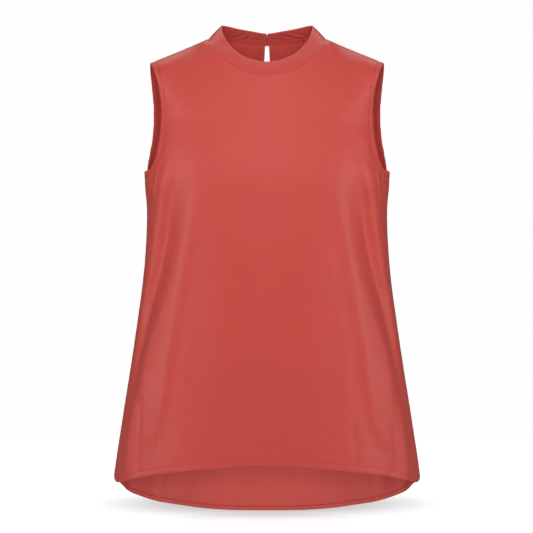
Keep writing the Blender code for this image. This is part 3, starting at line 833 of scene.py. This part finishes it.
def at_rise(panel, rise):
    """Points and normals of the cloth this far up from the hem, one to each column."""
    both = np.concatenate([panel.grid, panel.normals], axis=-1)
    found = np.array([at_lengths(both[:, c], panel.rise[:, c], [rise])[0] for c in range(both.shape[1])])
    return found[:, :3], unit(found[:, 3:])


def hem_rows(panel):
    """The hem's turning and fold: rows that come before the panel's first, from the turning's top."""
    rows, rises = [], []
    for rise in np.linspace(panel.half.hem_turn, 0, HEM_TURNING_ROWS):
        points, normals = at_rise(panel, rise)
        rows.append(points - normals * HEM_LAYER)
        rises.append(-rise)
    radius = HEM_LAYER / 2
    down = unit(panel.grid[0] - panel.grid[1])
    centre = panel.grid[0] - panel.normals[0] * radius
    for angle in np.linspace(math.pi, 0, HEM_FOLD_STEPS + 2)[1:-1]:
        out = panel.normals[0] * math.cos(angle) + down * math.sin(angle)
        rows.append(centre + out * radius)
        rises.append(-radius * math.sin(angle))
    return np.array(rows), np.array(rises)


def slit_start(panel):
    """The first row of the back's net whose two middle columns stand apart."""
    return np.searchsorted(panel.grid[:, panel.grid.shape[1] // 2, 0] > 0, True)


def with_tucks(grid, normals, reach, rise):
    """The same net with its side and top edges turned in, where they are sewn to their neighbours."""
    pad = ((0, 1), (1, 1))
    grid, normals = (np.pad(run, (*pad, (0, 0)), mode="edge") for run in (grid, normals))
    reach, rise = (np.pad(run, pad, mode="edge") for run in (reach, rise))
    for edge in (np.s_[:, 0], np.s_[:, -1], np.s_[-1]):
        grid[edge] -= normals[edge] * SEAM_TUCK
    reach[:, 0] -= SEAM_TUCK
    reach[:, -1] += SEAM_TUCK
    rise[-1] += SEAM_TUCK
    return grid, reach, rise


def make_panel(half, look):
    panel = panel_surface(half)
    turning, turning_rises = hem_rows(panel)
    pad = ((len(turning), 0), (0, 0))
    grid = np.concatenate([turning, panel.grid])
    normals = np.pad(panel.normals, (*pad, (0, 0)), mode="edge")
    reach = np.pad(panel.reach, pad, mode="edge")
    rise = np.pad(panel.rise, pad)
    rise[: len(turning)] = turning_rises[:, None]
    grid, reach, rise = with_tucks(grid, normals, reach, rise)
    rows, columns = grid.shape[:2]
    faces = grid_faces(rows, columns)
    if half is BACK:
        middle = columns // 2 - 1
        slit_row = len(turning) + slit_start(panel) - 1
        faces = [face for face in faces if face[0] % columns != middle or face[0] // columns < slit_row]
    uvs = np.stack([reach, rise], axis=-1).reshape(-1, 2)
    obj = add_piece(half.side, grid.reshape(-1, 3), faces, uvs, look, is_open=True)
    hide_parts(half.side + "_panel")
    solidify = obj.modifiers.new("cloth", "SOLIDIFY")
    solidify.thickness = CLOTH * MM
    solidify.offset = -1.0
    return obj, panel


def swept(name, rings, along, look, closed_path):
    """A closed section carried along a path: rings of points, and each ring's place along the path."""
    count, sides = rings.shape[:2]
    if closed_path:
        faces = grid_faces(count, sides, wrap_rows=True, wrap_columns=True)
    else:
        faces = tube_faces(count, sides)
    section = length_along(rings[count // 2])
    uvs = np.stack(np.broadcast_arrays(along[:, None], section[None, :]), axis=-1).reshape(-1, 2)
    return add_piece(name, rings.reshape(-1, 3), faces, uvs, look)


def frames_along(path, normals):
    """Aside and outward directions along a path in the cloth, aside on its left as it is walked."""
    tangents = unit(np.gradient(path, axis=0))
    aside = unit(np.cross(tangents, normals))
    return aside, unit(np.cross(aside, tangents))


def strip(path, normals, section, lift):
    """Rings of a strip's section beside a path. lift is what each path point adds to its outer side."""
    aside, out = frames_along(path, normals)
    across, up = np.array(section).T
    outer = eased((up - min(up)) / (max(up) - min(up)))
    up = up[None, :] + lift[:, None] * outer[None, :]
    return path[:, None] + aside[:, None] * across[None, :, None] + out[:, None] * up[..., None]


def closed_run(path, normals, count):
    """An even run of points round a closed path, with one more at each end to take directions from."""
    around = np.concatenate([path, path[:1]])
    along = length_along(around)
    wanted = np.arange(-1, count + 1) * along[-1] / count
    places = wanted % along[-1]
    normals = np.concatenate([normals, normals[:1]])
    return at_lengths(around, along, places), unit(at_lengths(normals, along, places)), wanted


def armhole_edge(front_panel, back_panel):
    """The left armhole's seam, up the front from the underarm and down the back, as a closed run."""
    up, up_normals = (run[SKIRT_ROWS:, -1] for run in (front_panel.grid, front_panel.normals))
    down, down_normals = (run[SKIRT_ROWS:, -1] for run in (back_panel.grid, back_panel.normals))
    path = np.concatenate([up, down[-2:0:-1]])
    normals = np.concatenate([up_normals, down_normals[-2:0:-1]])
    normals[0] = unit(up_normals[0] + down_normals[0])
    normals[len(up) - 1] = unit(up_normals[-1] + down_normals[-1])
    return path, normals


def make_bindings(front_panel, back_panel, look):
    path, normals, along = closed_run(*armhole_edge(front_panel, back_panel), BINDING_POINTS)
    low, high = path[:, 2].min(), path[:, 2].max()
    under = 1 - eased((path[:, 2] - low) / (high - low) * 2)
    path = path + (blurred(path, UNDERARM_BLUR) - path) * under[:, None]
    normals = unit(normals + (blurred(normals, 2 * UNDERARM_BLUR) - normals) * under[:, None])
    normals[:, 2] += UNDERARM_LEAN * under**3
    normals = unit(normals)
    made = []
    for name, side, shift in BINDINGS:
        lift = (BINDING_PUCKER + UNDERARM_PUCKER * under) * waves(along + shift, PUCKERS)
        rings = strip(path, normals, BINDING_SECTION, lift)[1:-1] * np.array([side, 1, 1])
        obj = swept("binding_" + name, rings, along[1:-1], look, closed_path=True)
        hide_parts("armhole_binding_" + name)
        made.append(obj)
    return made


def keyhole_edge(back_panel):
    """The keyhole's edge down the right side, round its lower end and up the left."""
    middle = back_panel.grid.shape[1] // 2
    first = slit_start(back_panel) - 1
    left = back_panel.grid[first:, middle], back_panel.normals[first:, middle]
    return [np.concatenate([run[:0:-1] * MIRROR, run]) for run in left]


def make_facing(back_panel, look):
    path, normals = keyhole_edge(back_panel)
    along = length_along(path)
    wanted = np.linspace(0, along[-1], FACING_POINTS)
    path = at_lengths(path, along, wanted)
    normals = unit(at_lengths(normals, along, wanted))
    rings = strip(path, normals, FACING_SECTION, FACING_PUCKER * waves(wanted, PUCKERS))
    obj = swept("keyhole_facing", rings, wanted, look, closed_path=False)
    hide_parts("keyhole_binding")
    return obj, path, normals


def neck_frame(front_panel, back_panel):
    """The neck seam's points from the right collar end round the front to the left, the normals there,
    the way on up the cloth, and the band's top edge."""
    end = 180 - math.degrees(COLLAR_END_GAP / NECK_HALF_WIDTH)
    angles = np.concatenate([neck_angles(FRONT), neck_angles(BACK)[-2::-1], [end]])
    tops = (panel.normals[-1] for panel in (front_panel, back_panel))
    front, back = (top[len(top) // 2 :][: NECK_COLUMNS + 1] for top in tops)
    back = back[::-1]
    normals = np.concatenate([front[:-1], unit(front[-1:] + back[:1]), back[1:], back[-1:]])
    seam = neck_seam(angles)
    onwards = unit(np.cross(unit(normals), unit(np.gradient(seam, axis=0))))
    runs = (seam, normals, onwards, collar_top(angles))
    return [np.concatenate([run[::-1] * MIRROR, run[1:]]) for run in runs]


def make_collar(front_panel, back_panel, look):
    runs = neck_frame(front_panel, back_panel)
    coarse = length_along(runs[0])
    near_ends = np.array(COLLAR_END_COLUMNS)
    along = np.unique(np.concatenate([coarse, near_ends, coarse[-1] - near_ends]))
    seam, normals, onwards, top = (at_lengths(run, coarse, along) for run in runs)
    turn = seam + onwards * COLLAR_FOOT
    rise = unit(top - turn)
    from_end = np.minimum(along, along[-1] - along)
    corner = np.clip(1 - from_end / COLLAR_END_ROUNDING, 0, 1)
    height = np.linalg.norm(top - turn, axis=1) - COLLAR_END_DROP * corner**2
    out = unit(np.cross(unit(np.gradient(turn, axis=0)), rise))
    out *= np.sign((out * normals).sum(axis=1))[:, None]
    wave = COLLAR_WAVE * waves(along, ROLLING)
    roll = COLLAR_ROLL

    def at(up, outwards):
        """Points this far up the band from its turn, and out from its outer face."""
        up, outwards = (np.broadcast_to(run, height.shape)[:, None] for run in (up, outwards))
        return turn + rise * up + out * outwards

    rows = [seam + onwards * a + normals * b for a, b in COLLAR_FRONT_FOOT]
    for share in np.linspace(0, 1, COLLAR_RISE_STEPS):
        puff = COLLAR_PUFF * math.sin(math.pi * share) + wave * math.sin(math.pi * share) ** 0.5
        rows.append(at((height - roll) * share, puff))
    for angle in np.linspace(0, math.pi, COLLAR_ROLL_STEPS)[1:-1]:
        rows.append(at(height - roll + roll * math.sin(angle), (math.cos(angle) - 1) * roll))
    place = np.where(along < along[-1] / 2, along, along - along[-1])
    for share in np.linspace(1, 0, COLLAR_FALL_STEPS):
        up = (height - roll) * share
        inner = -2 * roll - COLLAR_PUFF * math.sin(math.pi * share) / 2
        inner = inner - sum(crease_depth(crease, place, up) for crease in COLLAR_CREASES)
        rows.append(at(up, inner))
    rows += [seam + onwards * a + normals * b for a, b in COLLAR_BACK_FOOT]
    rings = np.array(rows).transpose(1, 0, 2)
    obj = swept("collar", rings, along, look, closed_path=False)
    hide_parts("collar_band")
    return obj


def make_stitches(name, paths, look):
    """Stitches along runs of points on the cloth, each run given with its normals."""
    verts, faces, uvs = [], [], []
    turns = full_turn(STITCH_SIDES)
    for path, normals in paths:
        along = length_along(path)
        aside, out = frames_along(path, normals)
        for start in np.arange(STITCH_GAP, along[-1] - STITCH_LENGTH, STITCH_LENGTH + STITCH_GAP):
            base = len(verts)
            for share, height, size in STITCH_PROFILE:
                place = start + share * STITCH_LENGTH
                point, side, up = (at_lengths(run, along, [place])[0] for run in (path, aside, out))
                for turn in turns:
                    off = side * math.cos(turn) + up * math.sin(turn)
                    verts.append(point + up * height + off * STITCH_RADIUS * size)
                    uvs.append((place, turn))
            faces += tube_faces(len(STITCH_PROFILE), STITCH_SIDES, base)
    return add_piece(name, verts, faces, uvs, look)


def hem_stitch_runs(panel):
    """The hem's stitches on its outside, and on the turning inside."""
    points, normals = at_rise(panel, panel.half.hem_turn - HEM_STITCH_BACK)
    inside = points - normals * (HEM_LAYER + HEM_STITCH_LIFT)
    return [(points, normals), (inside, -normals)]


def closure_seat(front_panel, back_panel):
    """The frame of the button and its loop, on the collar's outside, between its ends at the back."""
    seam, _, onwards, top = (run[-1] for run in neck_frame(front_panel, back_panel))
    low, high = Vector(seam + onwards * COLLAR_FOOT), Vector(top)
    up = (high - low).normalized()
    across = Vector((-1, 0, 0))
    seat = Matrix(np.column_stack([across, up, across.cross(up)])).to_4x4()
    middle = (low + high) / 2
    seat.translation = Vector((0, middle.y, middle.z)) * MM
    return seat


def make_button(seat, look):
    radii, heights = np.array(BUTTON_PROFILE).T
    turns = full_turn(BUTTON_TURNS)
    rings = [np.stack([radii * math.cos(turn), radii * math.sin(turn), heights], axis=1) for turn in turns]
    verts = np.concatenate(rings) + np.array([BUTTON_FROM_CENTRE, 0, BUTTON_CLEARANCE])
    faces = grid_faces(BUTTON_TURNS, len(BUTTON_PROFILE), wrap_rows=True)
    obj = add_piece("button_disc", verts, faces, verts[:, :2], look, seat=seat)
    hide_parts("button")
    return obj


def make_loop(seat, look):
    """A twisted cord loop sewn to the other end of the collar, round the button's shank."""
    turn_radius = SHANK_RADIUS + SEAM_GAP + LOOP_RADIUS
    turn = np.radians(np.linspace(-LOOP_TURN, LOOP_TURN, LOOP_TURN_POINTS))
    x = [-LOOP_TAIL, *(BUTTON_FROM_CENTRE + turn_radius * np.cos(turn)), -LOOP_TAIL]
    y = [-LOOP_SPREAD, *(turn_radius * np.sin(turn)), LOOP_SPREAD]
    line = np.stack([x, y, np.full(len(x), LOOP_HEIGHT)], axis=1)
    path = spaced(line, np.linspace(0, 1, LOOP_POINTS))
    at_shank = eased((path[:, 0] + LOOP_TAIL) / LOOP_TAIL)
    path[:, 2] -= (LOOP_HEIGHT - LOOP_TAIL_HEIGHT) * (1 - at_shank)
    along = length_along(path)
    tangents = unit(np.gradient(path, axis=0))
    side = unit(np.cross(tangents, np.array([0, 0, 1.0])))
    up = np.cross(side, tangents)
    turns = full_turn(PLY_SIDES)
    off = side[:, None] * np.cos(turns)[None, :, None] + up[:, None] * np.sin(turns)[None, :, None]
    verts, faces = [], []
    for phase in (0, math.pi):
        twist = (along / PLY_TURN_LENGTH * 2 * math.pi + phase)[:, None]
        centre = path + (side * np.cos(twist) + up * np.sin(twist)) * (LOOP_RADIUS - PLY_RADIUS)
        faces += tube_faces(LOOP_POINTS, PLY_SIDES, len(verts))
        verts += list((centre[:, None] + off * PLY_RADIUS).reshape(-1, 3))
    uvs = [(place, turn) for place in along for turn in turns] * 2
    obj = add_piece("loop_cord", verts, faces, uvs, look, seat=seat)
    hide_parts("button_loop")
    return obj


# ---- Looks ----

CLOTH_RED = (0.58, 0.0695, 0.0540)
THREAD_RED = (0.47, 0.062, 0.05)
BUTTON_RED = (0.36, 0.045, 0.038)
# The weave and the crepe's pebbles, in metres, and how strongly they roughen the cloth's face.
WEAVE_PITCH = 0.00045
WEAVE_WAVER = 0.8
WEAVE_SHARE = 0.3
CREPE_SIZE = 0.0011
BUMP_STRENGTH = 0.25
BUMP_HEIGHT = 0.0001
MOTTLE_SCALE = 14.0
SLUB_SCALE = (1400.0, 60.0, 1.0)
DARKER = 0.9
LIGHTER = 1.07
CLOTH_ROUGHNESS = (0.42, 0.5)
CLOTH_SPECULAR = 0.45
SHEEN = 0.04
SHEEN_ROUGHNESS = 0.35
SHEEN_TINT = (1.0, 0.9, 0.88, 1)
BUTTON_ROUGHNESS = (0.22, 0.38)
BUTTON_MARKS_SCALE = 900.0


def feed(node, inputs):
    """Sets a node's inputs, each to a value or to another node's output."""
    for name, value in inputs.items():
        if isinstance(value, bpy.types.NodeSocket):
            node.id_data.links.new(value, node.inputs[name])
        else:
            node.inputs[name].default_value = value


def output_of(tree, kind, output, inputs, **settings):
    """One output of a new node with these inputs and settings."""
    node = tree.nodes.new(kind)
    for name, value in settings.items():
        setattr(node, name, value)
    feed(node, inputs)
    return node.outputs[output]


def between(tree, share, ends):
    """A number that goes from one of these ends to the other as the share goes from 0 to 1."""
    inputs = {"Value": share, "To Min": ends[0], "To Max": ends[1]}
    return output_of(tree, "ShaderNodeMapRange", "Result", inputs)


def noise(tree, vector, scale, detail, roughness):
    inputs = {"Vector": vector, "Scale": scale, "Detail": detail, "Roughness": roughness}
    return output_of(tree, "ShaderNodeTexNoise", "Fac", inputs)


def maths(tree, operation, *inputs):
    return output_of(tree, "ShaderNodeMath", "Value", dict(enumerate(inputs)), operation=operation)


def new_material(name, colour):
    made = bpy.data.materials.new(name)
    made.use_nodes = True
    shader = made.node_tree.nodes["Principled BSDF"]
    feed(shader, {"Base Color": (*colour, 1)})
    return made, made.node_tree, shader


def cloth_look(name="crepe", colour=CLOTH_RED):
    """Plain fine crepe: a woven grain with a pebbled face, slightly uneven in colour."""
    made, tree, shader = new_material(name, colour)
    grain = output_of(tree, "ShaderNodeUVMap", "UV", {}, uv_map="grain")
    # A wave texture's bands are 2 pi / 20 of a unit apart at a scale of 1.
    weave = {"Vector": grain, "Scale": math.pi / 10 / WEAVE_PITCH, "Distortion": WEAVE_WAVER, "Detail": 1.0}
    warp, weft = (
        output_of(tree, "ShaderNodeTexWave", "Fac", weave, bands_direction=direction) for direction in "XY"
    )
    pebbles = noise(tree, grain, 1 / CREPE_SIZE, 2.0, 0.6)
    surface = maths(tree, "MULTIPLY_ADD", maths(tree, "ADD", warp, weft), WEAVE_SHARE, pebbles)
    bump = {"Height": surface, "Strength": BUMP_STRENGTH, "Distance": BUMP_HEIGHT}

    mottle = noise(tree, grain, MOTTLE_SCALE, 3.0, 0.55)
    stretched = output_of(tree, "ShaderNodeMapping", "Vector", {"Vector": grain, "Scale": SLUB_SCALE})
    slubs = noise(tree, stretched, 1.0, 2.0, 0.5)
    shade = {
        "Factor": maths(tree, "MULTIPLY_ADD", mottle, 0.5, maths(tree, "MULTIPLY", slubs, 0.5)),
        "A": (*(DARKER * c for c in colour), 1),
        "B": (*(LIGHTER * c for c in colour), 1),
    }
    cloth = {
        "Base Color": output_of(tree, "ShaderNodeMix", "Result", shade, data_type="RGBA"),
        "Roughness": between(tree, pebbles, CLOTH_ROUGHNESS),
        "Normal": output_of(tree, "ShaderNodeBump", "Normal", bump),
        "Specular IOR Level": CLOTH_SPECULAR,
        "Sheen Weight": SHEEN,
        "Sheen Roughness": SHEEN_ROUGHNESS,
        "Sheen Tint": SHEEN_TINT,
    }
    feed(shader, cloth)
    return made


def button_look():
    made, tree, shader = new_material("button_gloss", BUTTON_RED)
    place = output_of(tree, "ShaderNodeTexCoord", "Object", {})
    marks = noise(tree, place, BUTTON_MARKS_SCALE, 3.0, 0.5)
    feed(shader, {"Roughness": between(tree, marks, BUTTON_ROUGHNESS)})
    return made


# ---- The stage ----

WORLD_LIGHT = 0.19
WORLD_SEEN = 0.99
WORLD_MIRRORED = 0.05
# The floor and the lamps are in metres.
FLOOR_LEVEL = -0.779
FLOOR_RADIUS = 1.4
FLOOR_SIDES = 96
FLOOR_WHITE = 0.25
# The floor glows with painted light. Seen from the camera it is white right up to a painted shadow behind
# the hem, where its glow drops inside an ellipse, and to other rays it glows under the hem as painted bounce
# light.
PAINTED_SHADOW_CENTRE = (0.0, 0.25)
PAINTED_SHADOW_HALVES = (0.37, 0.205)
PAINTED_SHADOW_SEEN = 0.40
FLOOR_SEEN = 0.95
# A painted glow in the floor under the hem, standing in for bounce light, seen by all rays but the camera's.
PAINTED_BOUNCE_HALVES = (0.26, 0.2)
PAINTED_BOUNCE_UNDER = 1.06
PAINTED_BOUNCE_ROUND = 0.0
# The shares of each ellipse's halves at which its glow starts and stops changing.
GLOW_EDGE = (0.3, 1.05)

Lamp = namedtuple("Lamp", "name x y z size_x size_y power lights")
LAMPS = table(
    Lamp,
    ("front_lamp", 0.0, -3.0, -0.4, 1.2, 1.0, 40.5, "body"),
    ("near_front_lamp", 0.0, -1.1, 0.4, 0.9, 0.5, 5.9, "body"),
    ("front_top_lamp", 0.0, -1.7, 1.5, 1.4, 0.6, 2.5, "gloss"),
    ("left_strip", -2.6, -1.4, 0.1, 0.4, 1.8, 19.0, "gloss"),
    ("right_strip", 2.6, -1.4, 0.1, 0.4, 1.8, 19.0, "gloss"),
    ("left_lamp", -2.8, -0.3, 0.1, 0.6, 1.8, 24.5, "body"),
    ("right_lamp", 2.8, -0.3, 0.1, 0.6, 1.8, 24.5, "body"),
    ("back_lamp", 0.0, 3.0, 0.3, 1.2, 1.0, 32.0, "body"),
    ("back_top_lamp", 0.0, 0.9, 1.5, 2.0, 0.8, 12.0, "all"),
)
LAMP_AIM = Vector((0, 0, -0.35))
# The camera, and the width of its view at the garment, in metres. The sensor is in millimetres.
CAMERA_DISTANCE = 2.6
CAMERA_LEVEL = -0.364
CAMERA_ASIDE = -0.0009
VIEW_WIDTH = 0.8528
SENSOR = 36.0


def set_world(scene):
    world = bpy.data.worlds.new("studio")
    scene.world = world
    world.use_nodes = True
    tree = world.node_tree
    glossy, seen = (
        output_of(tree, "ShaderNodeLightPath", output, {}) for output in ("Is Glossy Ray", "Is Camera Ray")
    )
    unseen = between(tree, glossy, (WORLD_LIGHT, WORLD_MIRRORED))
    strength = between(tree, seen, (unseen, WORLD_SEEN))
    feed(tree.nodes["Background"], {"Color": (1, 1, 1, 1), "Strength": strength})


def floor_glow(tree, centre, halves, ends):
    """Painted light that goes from one strength to another across the edge of an ellipse: the floor's
    painted shadow or its painted bounce glow.
    """
    place = {
        "Vector": output_of(tree, "ShaderNodeTexCoord", "Object", {}),
        "Location": (-centre[0] / halves[0], -centre[1] / halves[1], 0),
        "Scale": (1 / halves[0], 1 / halves[1], 1),
    }
    patch = output_of(tree, "ShaderNodeMapping", "Vector", place)
    share = output_of(tree, "ShaderNodeVectorMath", "Value", {0: patch}, operation="LENGTH")
    inputs = {"Value": share, "To Min": ends[0], "To Max": ends[1]}
    inputs |= {"From Min": GLOW_EDGE[0], "From Max": GLOW_EDGE[1]}
    return output_of(tree, "ShaderNodeMapRange", "Result", inputs, interpolation_type="SMOOTHSTEP")


def floor_paint():
    paint, tree, shader = new_material("floor", (FLOOR_WHITE,) * 3)
    either = {
        "Factor": output_of(tree, "ShaderNodeLightPath", "Is Camera Ray", {}),
        # Other rays see the floor's painted bounce glow under the hem, which lights the inside of the back.
        "A": floor_glow(tree, (0, 0), PAINTED_BOUNCE_HALVES, (PAINTED_BOUNCE_UNDER, PAINTED_BOUNCE_ROUND)),
        # The camera sees the floor white, with a painted shadow behind the hem.
        "B": floor_glow(tree, PAINTED_SHADOW_CENTRE, PAINTED_SHADOW_HALVES, (PAINTED_SHADOW_SEEN, FLOOR_SEEN)),
    }
    paper = {
        "Roughness": 1.0,
        "Specular IOR Level": 0.0,
        "Emission Color": (1, 1, 1, 1),
        "Emission Strength": output_of(tree, "ShaderNodeMix", "Result", either),
    }
    feed(shader, paper)
    return paint


def set_stage():
    scene = bpy.context.scene
    scene.view_settings.view_transform = "Standard"
    set_world(scene)
    shape = bmesh.new()
    bmesh.ops.create_circle(shape, cap_ends=True, segments=FLOOR_SIDES, radius=FLOOR_RADIUS)
    mesh = bpy.data.meshes.new("floor")
    shape.to_mesh(mesh)
    shape.free()
    mesh.materials.append(floor_paint())
    floor = new_object("floor", mesh)
    floor.location = (0, 0, FLOOR_LEVEL)


def set_lamps():
    for lamp in LAMPS:
        data = bpy.data.lights.new(lamp.name, "AREA")
        data.shape = "RECTANGLE"
        data.size = lamp.size_x
        data.size_y = lamp.size_y
        data.energy = lamp.power
        obj = new_object(lamp.name, data)
        obj.location = (lamp.x, lamp.y, lamp.z)
        obj.visible_glossy = lamp.lights != "body"
        obj.visible_diffuse = lamp.lights != "gloss"
        aim = LAMP_AIM - obj.location
        obj.rotation_euler = aim.to_track_quat("-Z", "Y").to_euler()


def set_camera():
    data = bpy.data.cameras.new("camera")
    data.sensor_width = SENSOR
    data.lens = SENSOR * CAMERA_DISTANCE / VIEW_WIDTH
    camera = new_object("camera", data)
    camera.location = (CAMERA_ASIDE, -CAMERA_DISTANCE, CAMERA_LEVEL)
    camera.rotation_euler = (math.pi / 2, 0, 0)
    bpy.context.scene.camera = camera


def make_tunic():
    crepe = cloth_look()
    thread = cloth_look("thread", THREAD_RED)
    front, front_panel = make_panel(FRONT, crepe)
    back, back_panel = make_panel(BACK, crepe)
    collar = make_collar(front_panel, back_panel, crepe)
    binding_left, binding_right = make_bindings(front_panel, back_panel, crepe)
    facing, slit, slit_normals = make_facing(back_panel, crepe)
    runs = hem_stitch_runs(front_panel) + hem_stitch_runs(back_panel)
    hem_stitches = make_stitches("hem_stitches", runs, thread)
    aside, out = frames_along(slit, slit_normals)
    inside = (slit + aside * FACING_STITCH_IN - out * FACING_STITCH_DEPTH, -out)
    facing_stitches = make_stitches("facing_stitches", [inside], thread)
    seat = closure_seat(front_panel, back_panel)
    make_button(seat, button_look())
    make_loop(seat, thread)


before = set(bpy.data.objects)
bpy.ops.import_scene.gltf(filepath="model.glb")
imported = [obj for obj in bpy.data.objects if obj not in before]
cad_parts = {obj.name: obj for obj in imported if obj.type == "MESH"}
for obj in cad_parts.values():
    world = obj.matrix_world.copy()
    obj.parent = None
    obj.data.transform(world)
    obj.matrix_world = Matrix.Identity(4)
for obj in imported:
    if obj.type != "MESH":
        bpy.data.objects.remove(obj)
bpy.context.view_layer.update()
set_camera()
set_stage()
set_lamps()
make_tunic()
